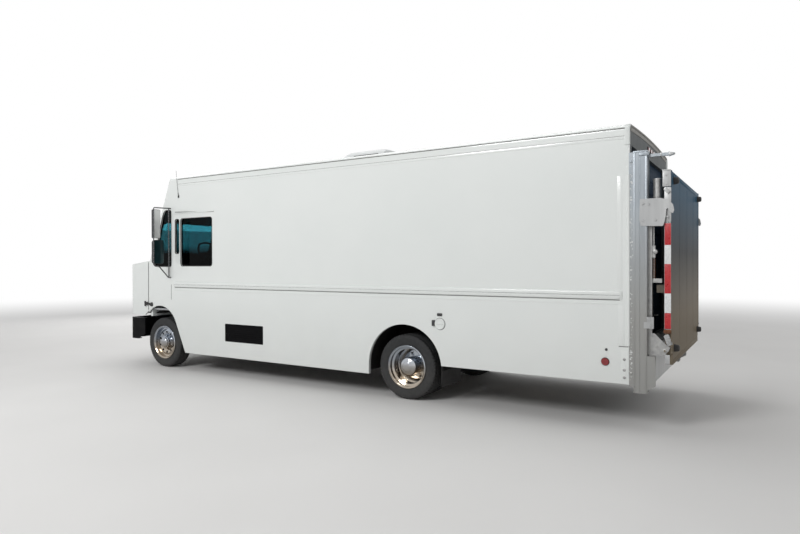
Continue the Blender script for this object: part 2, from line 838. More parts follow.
CAD_FINISH = {
    "body_white": ("roof", "front_wall", "hood", "entry_door", "serving_hatch"),
    "wall_white": ("left_side", "right_side"),
    "frame_grey": ("rear_frame",),
    "panel_white": ("bulkhead",),
    "door_sheet": ("rear_door",),
    "unit_white": ("roof_unit",),
    "bumper_black": ("front_bumper",),
    "chassis_black": ("chassis_frame", "seat_frame"),
    "cast_dark": ("front_axle", "rear_axle", "leaf_springs", "engine", "knuckle_left", "knuckle_right"),
    "pipe_steel": ("exhaust", "fuel_tank"),
    "bright_sheet": ("gate_hooks", "bed_extension", "hook_pins"),
    "steel_dull": ("gate_carriage",),
    "mill_rail": ("gate_columns",),
    "deck_sheet": ("gate_platform",),
    "floor_plate": ("floor", "wheel_boxes"),
    "tube_dark": ("mirror_arms",),
    "mirror_face": ("mirror_glass",),
    "black_plastic": ("mirror_heads", "side_fittings", "grille"),
    "dark_glass": ("side_windows",),
    "clear_glass": ("windscreen", "entry_glass"),
    "black_rubber": ("latch_bases", "platform_bumpers"),
    "dash_plastic": ("dashboard", "steering_wheel"),
    "red_lens": ("rear_lamps",),
    "amber_lens": ("front_markers",),
    "clear_lens": ("headlamps",),
    "chrome": ("rim_front_left", "rim_front_right", "rims_rear_left", "rims_rear_right"),
    "tyre_rubber": ("tyre_front_left", "tyre_front_right", "tyres_rear_left", "tyres_rear_right"),
    "seat_cloth": ("seat_cushions",),
}


def dress_cad_nodes() -> None:
    """Give every CAD node its procedural finish and smooth its curved faces."""
    for finish, nodes in CAD_FINISH.items():
        for node in nodes:
            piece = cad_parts[node]
            for place in piece.material_slots:
                place.material = material(finish)
    log.info("%d CAD nodes dressed", sum(len(nodes) for nodes in CAD_FINISH.values()))


# Camera, lights and floor

@dataclass(frozen=True)
class Studio:
    """The photograph's camera, soft lamps, and a pale floor."""

    place: Vec = (-4.9835, 7.3842, 1.6359)
    yaw: float = -58.165
    pitch: float = -0.313
    roll: float = -0.137
    lens: float = 27.28
    air: float = 0.34
    fade: Span = (7.0, 26.0)
    floor_reach: float = 60.0

    def camera(self) -> None:
        """Set up the camera: looking along d, with right r and up u rolled about d."""
        yaw, pitch, roll = np.radians((self.yaw, self.pitch, self.roll))
        ahead = np.array([np.cos(pitch) * np.cos(yaw), np.cos(pitch) * np.sin(yaw), np.sin(pitch)])
        right = np.cross(ahead, (0, 0, 1))
        right /= np.linalg.norm(right)
        up = np.cross(right, ahead)
        turned_right = np.cos(roll) * right + np.sin(roll) * up
        turned_up = np.cos(roll) * up - np.sin(roll) * right
        data = bpy.data.cameras.new("camera")
        data.lens = self.lens
        data.sensor_width = 36.0
        data.clip_end = 500.0
        camera = bpy.data.objects.new("camera", data)
        bpy.context.scene.collection.objects.link(camera)
        axes = np.stack([turned_right, turned_up, -ahead], 1)
        turn = Matrix(axes.tolist()).to_4x4()
        camera.matrix_world = Matrix.Translation(self.place) @ turn
        bpy.context.scene.camera = camera

    def lamp(self, name: str, place: Vec, size: float, power: float) -> None:
        """Add one soft square lamp that faces the truck.

        Args:
            name: The lamp's name.
            place: Where it hangs.
            size: Side of its square.
            power: Watts.
        """
        data = bpy.data.lights.new(name, "AREA")
        data.shape = "SQUARE"
        data.size = size
        data.energy = power
        lamp = bpy.data.objects.new(name, data)
        bpy.context.scene.collection.objects.link(lamp)
        aim = np.array((0.0, 0.0, 1.2)) - np.array(place)
        back = -aim / np.linalg.norm(aim)
        side = np.cross((0, 0, 1), back)
        side /= np.linalg.norm(side)
        axes = np.stack([side, np.cross(back, side), back], 1)
        lamp.matrix_world = Matrix.Translation(place) @ Matrix(axes.tolist()).to_4x4()

    def world(self) -> None:
        """Light the air evenly, and show it white to the camera, to gloss and through glass."""
        world = bpy.data.worlds.new("world")
        world.use_nodes = True
        bpy.context.scene.world = world
        nodes = Nodes(world.node_tree)
        path = nodes.add("ShaderNodeLightPath").outputs
        seen = nodes.math("MAXIMUM", path["Is Camera Ray"], path["Is Transmission Ray"])
        seen = nodes.math("MAXIMUM", seen, path["Is Glossy Ray"])
        strength = nodes.ranged(seen, (0.0, 1.0), (self.air, 1.0))
        nodes.fill(world.node_tree.nodes["Background"], {"Color": WHITE_LIGHT, "Strength": strength})

    def floor_finish(self) -> bpy.types.Material:
        """Build a pale floor finish that glows white far from the truck, so no horizon shows.

        Returns:
            The material.
        """
        pale = Finish("floor_pale", (0.70, 0.695, 0.685), (0.74, 0.735, 0.725), (0.85, 0.95), scale=0.6,
                      bump=0.05, bump_scale=30.0).build()
        nodes = Nodes(pale.node_tree)
        coords = nodes.add("ShaderNodeTexCoord").outputs["Object"]
        reach = nodes.add("ShaderNodeVectorMath", {0: coords}, operation="LENGTH").outputs["Value"]
        share = nodes.ranged(reach, self.fade, interpolation_type="SMOOTHSTEP")
        glow = nodes.add("ShaderNodeEmission", {"Color": WHITE_LIGHT, "Strength": 1.0}).outputs[0]
        shader = pale.node_tree.nodes["Principled BSDF"].outputs[0]
        mix = nodes.add("ShaderNodeMixShader", {0: share, 1: shader, 2: glow}).outputs[0]
        nodes.fill(pale.node_tree.nodes["Material Output"], {"Surface": mix})
        return pale

    def floor(self) -> None:
        """Lay a pale floor that keeps the truck's shadow."""
        mesh = bpy.data.meshes.new("studio_floor")
        reach = self.floor_reach
        corners = [(-reach, -reach, 0), (reach, -reach, 0), (reach, reach, 0), (-reach, reach, 0)]
        mesh.from_pydata(corners, [], [[0, 1, 2, 3]])
        mesh.materials.append(self.floor_finish())
        floor = bpy.data.objects.new("studio_floor", mesh)
        bpy.context.scene.collection.objects.link(floor)

    def build(self) -> None:
        """Build the whole studio."""
        self.camera()
        self.world()
        self.floor()
        self.lamp("key", (1.5, 13.0, 9.0), 4.5, 880.0)
        self.lamp("fill", (-10.0, -6.0, 6.0), 7.0, 160.0)
        self.lamp("front", (11.0, -5.0, 6.0), 7.0, 350.0)
        self.lamp("top", (1.0, -1.0, 11.0), 8.0, 350.0)
        bpy.context.scene.view_settings.view_transform = "Standard"


# Fittings that several pieces share

def strip(seat: Seat, length: float, width: float, height: float = SHEET, edge: float = SHEET_EDGE,
          corner: float = 0.004) -> Surface:
    """Raise a long thin plate with rounded corners on a seat.

    Args:
        seat: Where it stands.
        length: Size along the seat's u.
        width: Size along the seat's v.
        height: Thickness.
        edge: Radius of the rounded edge.
        corner: Corner radius.

    Returns:
        The strip.
    """
    return plate(seat, round_rect(length, width, corner, 4), height, edge)


def gasket(seat: Seat, corners: np.ndarray, radius: float, width: float, depth: float) -> Surface:
    """Run a rounded rubber section along a closed outline on a seat.

    Args:
        seat: Where it lies.
        corners: Outline corners (n, 2).
        radius: How far from a corner its bend starts.
        width: Section width on the seat.
        depth: Section height above and below the seat.

    Returns:
        The loop.
    """
    path = rounded_path(seat.place(corners, 0.0), radius, closed=True)
    return sweep(path, round_rect(width, depth, min(width, depth) * 0.45, 3), tuple(seat.out()), closed=True)


def lathe(seat: Seat, profile: list[tuple[float, float]], count: int = 24) -> Surface:
    """Turn a profile about a seat's outward axis: P(u, v) = seat(r cos v, r sin v) at height h.

    Args:
        seat: Where the axis stands.
        profile: Pairs of radius and height, from the foot up.
        count: Points around.

    Returns:
        The closed turned piece.
    """
    return grid(np.stack([seat.place(circle(radius, count), height) for radius, height in profile]))


def bolt(seat: Seat, radius: float = 0.011) -> Surface:
    """Build a washer with a six-sided head on a seat.

    Args:
        seat: Where it stands.
        radius: Radius of the head's corners.

    Returns:
        The washer and the head.
    """
    washer = lathe(seat, [(radius * 1.5, 0.0), (radius * 1.5, 0.0018), (radius * 1.4, 0.0024)], 18)
    head = lathe(seat, [(radius, 0.0), (radius, radius * 0.62), (radius * 0.86, radius * 0.75)], 6)
    return joined(washer, head)


def tube(path: np.ndarray, radius: float, up: Vec = (0, 0, 1), count: int = 12) -> Surface:
    """Run a round section along a path.

    Args:
        path: Array (n, 3).
        radius: The tube's radius.
        up: A direction that the path never follows.
        count: Points around.

    Returns:
        The capped tube.
    """
    return sweep(path, circle(radius, count), up)


# Sub-assemblies

@dataclass(frozen=True)
class BodyTrim:
    """Seams, rails and rivets of the box body."""

    rear: float = -3.763
    roof_front: float = 2.95
    seam_z: float = 2.863
    drip_z: float = 2.964
    rail_z: float = 1.32
    rail_low: float = -3.698
    rail_high: float = 3.026
    door: Span = (1.90, 2.71)
    eave_y: float = 1.134
    eave_z: float = 2.998
    crown_rise: float = 0.032
    corner_bolts: tuple[float, ...] = (0.516, 0.588, 0.694)

    def roof_rails(self) -> Surface:
        """Build the lap seam and the drip bead below the eaves, on both sides.

        Returns:
            The surface.
        """
        lap = strip(Seat.left(self.middle(), self.seam_z), self.length(), 0.03)
        path = points_of(np.linspace(self.rear, self.roof_front, 3), HALF_WIDTH + 0.002, self.drip_z)
        return both(lap, sweep(path, circle(0.0065, 10), (0, 0, 1)))

    def length(self) -> float:
        """Return the roof's length without its front slope."""
        return self.roof_front - self.rear

    def middle(self) -> float:
        """Return the middle of that length."""
        return (self.roof_front + self.rear) / 2

    def drip_line(self) -> Surface:
        """Build the dark joints: below the roof's edge, over the laps and over the driver's window.

        Returns:
            The surface.
        """
        length = self.length() - 0.05
        drip = strip(Seat.left(self.middle(), self.drip_z - 0.0085), length, 0.009, 0.0028, corner=0.002)
        lap = strip(Seat.left(self.middle(), self.seam_z + 0.0165), length, 0.004, 0.0012, 0.0005, 0.001)
        waist = strip(Seat.left((self.rail_low + self.rail_high) / 2, self.rail_z - 0.0475),
                      self.rail_high - self.rail_low - 0.04, 0.006, 0.003, corner=0.002)
        window = Seat((2.556, HALF_WIDTH, 2.434), (-0.9994, 0.0, -0.0342), (-0.0342, 0.0, 0.9994))
        post = strip(Seat.left(-3.712, 0.818), 0.090, 0.007, 0.0026, corner=0.002)
        cab = strip(Seat.left(3.089, 1.20), 0.005, 0.24, 0.0026, corner=0.002)
        return joined(both(drip, lap, post, cab), waist, strip(window, 0.875, 0.010, 0.006, 0.002, 0.003))

    def crown(self, y: np.ndarray) -> np.ndarray:
        """Return the roof's height at each y: z = e + c (1 - (y / w)^2)."""
        return self.eave_z + self.crown_rise * (1 - (y / self.eave_y) ** 2)

    def rear_cap(self) -> Surface:
        """Build the bead that wraps the roof's rear edge: an eave arc, then a crowned run.

        Returns:
            The bead and its flange.
        """
        turn = np.linspace(0, np.pi / 2, 8)
        run = np.linspace(1.0, 0.0, 10)
        y = np.concatenate([[1.192], self.eave_y + 0.058 * np.cos(turn), run])
        z = np.concatenate([[2.80], 2.94 + 0.058 * np.sin(turn), self.crown(run)])
        half = points_of(self.rear + 0.014, y, z)
        path = np.concatenate([half, half[-2::-1] * (1, -1, 1)])
        bead = sweep(path + (0.0, 0.0, -0.009), round_rect(0.026, 0.052, 0.011, 3), (1, 0, 0))
        y = np.linspace(1.12, -1.12, 25)
        path = points_of(self.rear - 0.002, y, self.crown(y) - 0.040)
        return joined(bead, sweep(path, round_rect(0.044, 0.005, 0.002, 3), (1, 0, 0)))

    def rivets(self) -> Surface:
        """Build the rivet rows: P = foot + n pitch along X at fixed heights, on both sides.

        Returns:
            The domes.
        """
        x = np.arange(self.rear + 0.04, self.roof_front, 0.075)
        z = np.arange(0.62, 2.84, 0.085)
        rows = (points_of(x, HALF_WIDTH + 0.0018, self.seam_z),
                points_of(x, HALF_WIDTH + 0.0018, self.drip_z + 0.018),
                points_of(self.rear + 0.02, HALF_WIDTH, z))
        return both(studs(np.concatenate(rows), (0, 1, 0), 0.0055, 0.0022, 6))

    def waist_rails(self) -> Surface:
        """Build the rounded rub rails over the side walls' rail blocks, and the thin lap below.

        Returns:
            The surface.
        """
        spans = (("left", self.rail_low, self.rail_high), ("right", self.rail_low, self.door[0]),
                 ("right", self.door[1], self.rail_high))
        parts = []
        for name, low, high in spans:
            middle, length = (low + high) / 2, high - low
            rail = plate(Seat.left(middle, self.rail_z), round_rect(length, 0.086, 0.0425, 6), 0.017, 0.015)
            lap = strip(Seat.left(middle, 1.24), length, 0.028, 0.002)
            parts += [rail.on_side(SIDES[name]), lap.on_side(SIDES[name])]
        return joined(*parts)

    def corner_trim(self) -> Surface:
        """Build the rear corner mouldings, the upright laps beside them and the cab seam.

        Returns:
            The surface.
        """
        path = points_of(self.rear + 0.006, HALF_WIDTH + 0.001, np.linspace(0.83, 2.50, 3))
        return both(
            sweep(path, round_rect(0.03, 0.022, 0.010, 4), (0, 1, 0)),
            strip(Seat.left(-3.675, 1.935), 0.047, 1.11),
            strip(Seat.left(-3.69, 1.03), 0.055, 0.40),
            strip(Seat.left(-3.722, 0.633), 0.070, 0.30),
            strip(Seat.left(3.098, 1.20), 0.012, 0.24, 0.002),
            strip(Seat.left(3.135, 1.118), 0.075, 0.010, 0.002),
        )

    def corner_heads(self) -> Surface:
        """Build the bolts of the plates at the rear corners' feet."""
        return both(*(bolt(Seat.left(-3.720, z, HALF_WIDTH + 0.0021), 0.010) for z in self.corner_bolts))

    def build(self) -> None:
        """Make the trim pieces."""
        make("roof_rails", self.roof_rails(), "body_white", "body")
        make("drip_shadow", self.drip_line(), "seam_grey", "body")
        make("rear_cap", self.rear_cap(), "cap_paint", "body", 60)
        make("body_rivets", self.rivets(), "body_white", "body")
        make("waist_rails", self.waist_rails(), "body_white", "body", 60)
        make("corner_trim", self.corner_trim(), "body_white", "body")
        make("corner_bolts", self.corner_heads(), "steel_dull", "body")


@dataclass(frozen=True)
class Windows:
    """Rubber window seals and wipers."""

    low: float = 1.608
    high: float = 2.341
    pane_x: Span = (2.158, 2.865)
    vent_x: Span = (2.90, 2.995)
    vent_z: Span = (1.80, 2.335)
    screen_slope: float = 0.392

    def ring(self, x: Span, z: Span, radius: float, side: float, y: float = HALF_WIDTH) -> Surface:
        """Build one seal around an upright side window.

        Args:
            x: Its span along X.
            z: Its span along Z.
            radius: Corner radius.
            side: 1 for left, -1 for right.
            y: The wall's y.

        Returns:
            The seal.
        """
        seat = Seat.left(sum(x) / 2, sum(z) / 2, y)
        return gasket(seat, rect_corners(x[1] - x[0], z[1] - z[0]), radius, 0.011, 0.009).on_side(side)

    def side_seals(self) -> Surface:
        """Build the seals of the driver's, vent, corner and right windows.

        Returns:
            The surface.
        """
        corner = np.array([[3.087, 1.60], [3.087, 2.485], [3.242, 2.485], [3.30, 2.40], [3.52, 1.64],
                           [3.50, 1.60]])
        triangle = gasket(Seat.left(0, 0), (corner * (-1, 1))[::-1], 0.04, 0.011, 0.009)
        return joined(
            self.ring(self.pane_x, (self.low, self.high), 0.045, 1),
            self.ring(self.vent_x, self.vent_z, 0.035, 1),
            self.ring((2.74, 2.995), (self.low, self.high), 0.045, -1),
            both(triangle),
        )

    def screen_seat(self, y: float, along: float) -> Seat:
        """Return a seat on the windscreen's plane.

        Args:
            y: Position along Y.
            along: Distance up the slope from the waist line.

        Returns:
            The seat, facing forward and up.
        """
        rise = (1 + self.screen_slope**2) ** 0.5
        up = (-self.screen_slope / rise, 0.0, 1 / rise)
        origin = (3.647 + up[0] * along, y, 1.69 + up[2] * along)
        return Seat(origin, (0, 1, 0), up)

    def screen_seals(self) -> Surface:
        """Build the two windscreen seals.

        Returns:
            The surface.
        """
        parts = []
        for side in SIDES.values():
            seat = self.screen_seat(side * 0.5675, 0.370)
            parts.append(gasket(seat, rect_corners(1.075, 0.591), 0.06, 0.026, 0.016))
        return joined(*parts)

    def wipers(self) -> Surface:
        """Build two wiper arms with their blades, lying on the glass.

        Returns:
            The arms and blades.
        """
        parts = []
        for side in SIDES.values():
            foot = self.screen_seat(side * 0.22, 0.03)
            parts.append(dome(foot, 0.024, 0.03, 16))
            flat = np.array([[0, 0], [0.16, 0.10], [0.36, 0.17]]) * (side, 1)
            arm = foot.place(flat, np.array([0.026, 0.03, 0.012]))
            parts.append(sweep(rounded_path(arm, 0.05), round_rect(0.014, 0.007, 0.003, 2), (0, 1, 0.01)))
            blade = foot.place(np.array([[0.10, 0.10], [0.62, 0.24]]) * (side, 1), 0.012)
            parts.append(sweep(blade, round_rect(0.012, 0.018, 0.004, 2), (1, 0, 0.4)))
        return joined(*parts)

    def build(self) -> None:
        """Make the seals and the wipers."""
        make("side_seals", self.side_seals(), "black_rubber", "body", 50)
        make("screen_seals", self.screen_seals(), "black_rubber", "body", 50)
        make("wipers", self.wipers(), "black_plastic", "body")
        door = self.ring((2.01, 2.60), (1.25, 2.35), 0.06, -1, 1.14)
        make("entry_seal", door, "black_rubber", "entry_door", 50)


@dataclass(frozen=True)
class Tyre:
    """One road tyre: a rounded casing with four round grooves and shoulder lugs."""

    x: float
    y: float
    side: float
    radius: float = 0.392
    count: int = 240
    groove_y: tuple[float, ...] = (-0.05, -0.017, 0.017, 0.05)
    groove_depth: float = 0.009
    lug_depth: float = 0.007
    slit_depth: float = 0.003

    def profile(self) -> np.ndarray:
        """Return the casing's closed section as y (outward) and r, sampled along its length.

        Returns:
            Array (n, 2) of y and r.
        """
        keys = np.array([[-0.098, 0.2463], [-0.103, 0.262], [-0.111, 0.29], [-0.1135, 0.325], [-0.112, 0.355],
                         [-0.106, 0.377], [-0.097, 0.388], [-0.088, 0.3912]])
        tread_y = np.linspace(-0.084, 0.084, 57)
        tread = np.stack([tread_y, self.radius - 0.0012 * (tread_y / 0.084) ** 2], 1)
        side = [np.linspace(low, high, 3, endpoint=False) for low, high in zip(keys[:-1], keys[1:])]
        side = np.concatenate([*side, keys[-1:]])
        return np.concatenate([side, tread, side[::-1] * (-1, 1)])

    def surface(self) -> Surface:
        """Build the casing: P(u, v) = (x + r cos v, y(u), z + r sin v), y times the side's sign.

        r(u, v) is the section's radius less the depth of four round grooves, of the gaps
        between shoulder lugs, which repeat 60 times a turn, and of 30 shallow slits across
        the middle. Two rings stand out of each sidewall.

        Returns:
            The closed ring.
        """
        section = self.profile()
        y = section[:, :1]
        r = np.repeat(section[:, 1:], self.count, 1)
        groove = np.min(np.abs(y - np.array([self.groove_y])), 1, keepdims=True) < 0.0042
        tread = np.abs(y) < 0.0835
        step = np.arange(self.count)[None]
        lug = ((step + (np.abs(y) > 0.07) * 1) % 4 == 0) & (np.abs(y) > 0.056) & (r > 0.376)
        slit = ((step + 2) % 8 == 0) & (np.abs(y) < 0.05)
        r = r - self.groove_depth * (groove & tread) - self.lug_depth * lug - self.slit_depth * (slit & tread)
        rings = (0.0022 * (np.abs(section[:, 1:] - 0.348) < 0.006)
                 + 0.0018 * (np.abs(section[:, 1:] - 0.283) < 0.005))
        out = np.repeat(y, self.count, 1) + np.sign(y) * rings
        turn = step * 2 * np.pi / self.count
        points = points_of(self.x + r * np.cos(turn), self.side * (self.y + out),
                           self.radius + r * np.sin(turn))
        skin = grid(points, True)
        return skin.flipped() if self.side > 0 else skin


@dataclass(frozen=True)
class Trim:
    """One bright wheel trim: lip bead, hub cap on its collar, nut covers and rolled hand holes.

    collar holds (y, r) pairs from the foot up, and cap the dome's foot y, height and radius.
    nuts, holes and backs are rings of copies: where they lie along Y, and the ring's radius.
    Every y is measured from the wheel's middle.
    """

    x: float
    y: float
    collar: tuple[Span, ...]
    cap: Vec
    nuts: Span
    holes: Span
    backs: Span
    count: int
    height: float = 0.392
    hole: float = 0.0205

    def ring_of(self, place: Span, one: Surface) -> Surface:
        """Copy a surface to a ring around the axle, half a step round from its front.

        Args:
            place: The ring's y from the wheel's middle, and its radius.
            one: The surface to copy, built at the origin facing +Y.

        Returns:
            All the copies.
        """
        turn = (np.arange(self.count) + 0.5) * 2 * np.pi / self.count
        feet = points_of(self.x + place[1] * np.cos(turn), self.y + place[0],
                         self.height + place[1] * np.sin(turn))
        return joined(*(one.moved(tuple(foot)) for foot in feet))

    def bright(self) -> Surface:
        """Build the bright parts; the cap is r = R cos t, y = Y + H sin t over its collar.

        Returns:
            The surface.
        """
        lip = np.array([[0.113, 0.262], [0.118, 0.257], [0.117, 0.250], [0.108, 0.2485], [0.105, 0.256]])
        t = np.linspace(0, np.pi / 2 * 0.95, 9)
        foot, rise, radius = self.cap
        dome_rows = np.stack([foot + rise * np.sin(t), radius * np.cos(t)], 1)
        cap = np.concatenate([np.array(self.collar), dome_rows])
        levels = [(0.0160, 0.0), (0.0160, 0.004), (0.0130, 0.005), (0.0122, 0.018), (0.0100, 0.024),
                  (0.004, 0.026)]
        edge = [[0.0, 0.004], [0.004, 0.002], [0.004, -0.001], [-0.004, -0.0015]]
        rim = spun(np.array(edge) + (0.0, self.hole), 0.0, 0.0, 20)
        return joined(
            spun(lip + (self.y, 0.0), self.x, self.height),
            spun(cap + (self.y, 0.0), self.x, self.height, closed=False),
            self.ring_of(self.nuts, lathe(Seat.left(0, 0, 0), levels, 6)),
            self.ring_of(self.holes, rim),
        )

    def dark(self) -> Surface:
        """Build the dark drum face seen through the hand holes, as low domes deep in the holes."""
        return self.ring_of(self.backs, dome(Seat.left(0, 0, 0), 0.0185, 0.001, 18, 3))


@dataclass(frozen=True)
class Wheels:
    """Tyres with their tread, and the bright wheel trims with nuts and caps."""

    front_x: float = 3.32
    rear_x: float = -1.201
    outer_y: float = 1.037
    inner_y: float = 0.767

    def tread(self, end: str, side: float) -> Surface:
        """Build the front tyre of one side, or its pair of rear ones.

        Args:
            end: Which axle, front or rear.
            side: 1 for left, -1 for right.

        Returns:
            The tyres on that end of the axle.
        """
        if end == "front":
            return Tyre(self.front_x, self.outer_y, side).surface()
        return joined(*(Tyre(self.rear_x, y, side).surface() for y in (self.outer_y, self.inner_y)))

    def build(self) -> None:
        """Make the six tyres and the four trims."""
        replaced = {"front": "tyre_front_", "rear": "tyres_rear_"}
        trims = {
            "front": Trim(self.front_x, self.outer_y,
                          ((0.098, 0.094), (0.103, 0.094), (0.106, 0.084), (0.118, 0.082)),
                          (0.122, 0.022, 0.074), (0.048, 0.109), (0.058, 0.160), (0.055, 0.160), 10),
            "rear": Trim(self.rear_x, self.outer_y,
                         ((0.060, 0.1125), (0.074, 0.1125), (0.084, 0.106), (0.0935, 0.090)),
                         (0.102, 0.010, 0.062), (-0.123, 0.128), (-0.123, 0.158), (-0.126, 0.145), 8),
        }
        for side_name, side in SIDES.items():
            for end, trim in trims.items():
                place = f"{end}_{side_name}"
                wheel = f"wheel_{place}"
                tread = make(f"tread_{place}", self.tread(end, side), "tyre_rubber", wheel, 30)
                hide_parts(replaced[end] + side_name)
                make(f"trim_{place}", trim.bright().on_side(side), "chrome", wheel)
                make(f"holes_{place}", trim.dark().on_side(side), "louvre_black", wheel)


@dataclass(frozen=True)
class Liner:
    """A dark shell inside one wheel arch: a half tube with straight legs and an inner cheek."""

    x: float
    z: float
    radius: float
    span: Span
    inner_y: float
    legs: Span | None = None
    outer_y: float = 1.143
    sheet: float = 0.003

    def surface(self, side: float) -> Surface:
        """Build the shell: P(u, v) = (x + r cos u, y(v), z + r sin u), then a leg down at an end.

        Args:
            side: 1 for left, -1 for right.

        Returns:
            The closed shell and its cheek.
        """
        turn = np.radians(np.linspace(*self.span, 40))
        arc = np.stack([self.x + self.radius * np.cos(turn), self.z + self.radius * np.sin(turn)], 1)
        path = arc
        if self.legs:
            path = np.concatenate([[[arc[0, 0], self.legs[0]]], arc, [[arc[-1, 0], self.legs[1]]]])
        full = points_of(path[:, 0], (self.inner_y + self.outer_y) / 2, path[:, 1])
        shell = sweep(full, rect_corners(self.sheet, self.outer_y - self.inner_y), (0.0001, -1, 0))
        chord = arc[arc[:, 1] > self.z + 0.16]
        outline = np.stack([-(chord[:, 0] - self.x), chord[:, 1] - self.z], 1)[::-1]
        cheek = plate(Seat.left(self.x, self.z, self.inner_y), outline, self.sheet, 0.0005, 1)
        return joined(shell, cheek).on_side(side)


@dataclass(frozen=True)
class Underbody:
    """Wheel arch liners and mud flaps."""

    rear: Liner = Liner(-1.188, 0.398, 0.513, (0, 180), 0.632, (0.31, 0.39))
    front: Liner = Liner(3.335, 0.43, 0.466, (62, 150), 0.672)

    def build(self) -> None:
        """Make the liners and the flaps."""
        for name, side in SIDES.items():
            make("arch_liner_rear_" + name, self.rear.surface(side), "liner_black", "body")
            make("arch_liner_front_" + name, self.front.surface(side), "liner_black", "body")
            flap = plate(Seat.rear(0.89, 0.345, -1.672), round_rect(0.50, 0.31, 0.02, 4), 0.006, 0.002)
            make("mud_flap_" + name, flap.on_side(side), "black_rubber", "body")


@dataclass(frozen=True)
class Louvre:
    """The black louvred panel in the left skirt."""

    x: Span = (1.122, 1.885)
    z: Span = (0.503, 0.763)
    count: int = 9

    def surface(self) -> Surface:
        """Build the frame and the pressed sheet: y = y0 - d (1 - saw(z)), one step for each slat.

        Returns:
            The frame, the sheet, the catch bar and its screws.
        """
        width, height = self.x[1] - self.x[0], self.z[1] - self.z[0]
        seat = Seat.left(sum(self.x) / 2, sum(self.z) / 2, 1.1865)
        rim = gasket(seat, rect_corners(width - 0.022, height - 0.022), 0.008, 0.024, 0.011)
        z = np.linspace(self.z[0] + 0.004, self.z[1] - 0.004, self.count * 10 + 1)
        step = ((z - self.z[0]) / height * self.count) % 1.0
        front = np.stack([1.1895 - 0.0030 * step, z], 1)
        back = np.array([[1.1862, self.z[1] - 0.004], [1.1862, self.z[0] + 0.004]])
        section = np.concatenate([front, back])
        x = np.linspace(self.x[0] + 0.004, self.x[1] - 0.004, 9)
        sheet = grid(points_of(x[:, None], section[:, 0], section[:, 1]))
        bar = tube(points_of(np.linspace(1.26, 1.76, 5), 1.192, 0.595), 0.0045)
        feet = [dome(Seat.left(x, 0.600, 1.1885), 0.014, 0.007, 12) for x in (1.19, 1.80)]
        return joined(rim, sheet, bar, *feet)

    def build(self) -> None:
        """Make the louvre panel."""
        make("skirt_louvre", self.surface(), "louvre_black", "body", 30)


@dataclass(frozen=True)
class RoofUnit:
    """The moulded roof cooling unit, with ribs and a grille."""

    low: float = 3.0303
    half: float = 0.35
    rear: float = -0.37
    front: float = 0.56

    def height(self, x: np.ndarray) -> np.ndarray:
        """Return the shell's height over its foot at each x: a soft rear, a flat top, a long front slope.

        Args:
            x: Places along X.

        Returns:
            The heights.
        """
        keys_x = np.array([-0.37, -0.362, -0.345, -0.31, 0.24, 0.31, 0.40, 0.48, 0.53, 0.56])
        keys_h = np.array([0.05, 0.165, 0.207, 0.2245, 0.221, 0.211, 0.166, 0.113, 0.066, 0.012])
        return np.interp(x, keys_x, keys_h)

    def shell(self) -> Surface:
        """Build the shell: z = h(x) (1 - |y / w(x)|^n)^(1/n), with n = 5 and shallow ribs along X.

        Returns:
            The closed shell.
        """
        x = np.concatenate([np.linspace(self.rear, -0.30, 12), np.linspace(-0.27, 0.22, 24),
                            np.linspace(0.25, self.front, 26)])
        v = np.linspace(0, np.pi, 61)
        height = self.height(x)[:, None]
        width = self.half * (1 - 0.10 * np.clip((x - 0.2) / 0.36, 0, 1) ** 2)[:, None]
        width = width * (1 - 0.05 * np.clip((-0.33 - x) / 0.04, 0, 1) ** 2)[:, None]
        y = width * np.sign(np.cos(v)) * np.abs(np.cos(v)) ** 0.4
        z = height * np.abs(np.sin(v)) ** 0.4
        ribs = 0.004 * (np.abs((y / self.half * 4.5 + 100) % 1 - 0.5) < 0.2) * (z > 0.9 * height)
        ribs = ribs * ((x > -0.28) & (x < 0.28))[:, None]
        return grid(points_of(x[:, None], y, self.low + z + ribs)[::-1]).flipped()

    def slots(self) -> Surface:
        """Build dark intake slots on both flanks and the outlet at the rear.

        Returns:
            The surface.
        """
        flank = [strip(Seat.left(-0.05, self.low + 0.055 + row * 0.022, self.half - 0.0035),
                       0.42, 0.009, 0.005, 0.002) for row in range(5)]
        rear = [strip(Seat.rear(0, self.low + 0.045 + row * 0.02, self.rear + 0.003),
                      0.44, 0.008, 0.005, 0.002) for row in range(6)]
        return joined(both(*flank), *rear)

    def foot(self) -> Surface:
        """Build the sealing flange round the foot with its screws.

        Returns:
            The surface.
        """
        seat = Seat.top((self.rear + self.front) / 2, 0, self.low - 0.0002)
        outline = round_rect(self.front - self.rear + 0.03, 2 * self.half + 0.03, 0.05)
        flange = plate(seat, outline, 0.012, 0.004)
        x = np.linspace(self.rear + 0.03, self.front - 0.05, 7)
        rows = np.concatenate([points_of(x, y, self.low + 0.0115)
                               for y in (-self.half - 0.006, self.half + 0.006)])
        return joined(flange, studs(rows, (0, 0, 1), 0.006, 0.003))

    def build(self) -> None:
        """Make the unit in place of its plain solid."""
        shell = make("roof_unit_shell", self.shell(), "unit_white", "body", 40)
        slots = make("roof_unit_slots", self.slots(), "louvre_black", "body")
        foot = make("roof_unit_foot", self.foot(), "unit_white", "body")
        for piece in (shell, slots, foot):
            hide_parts("roof_unit")


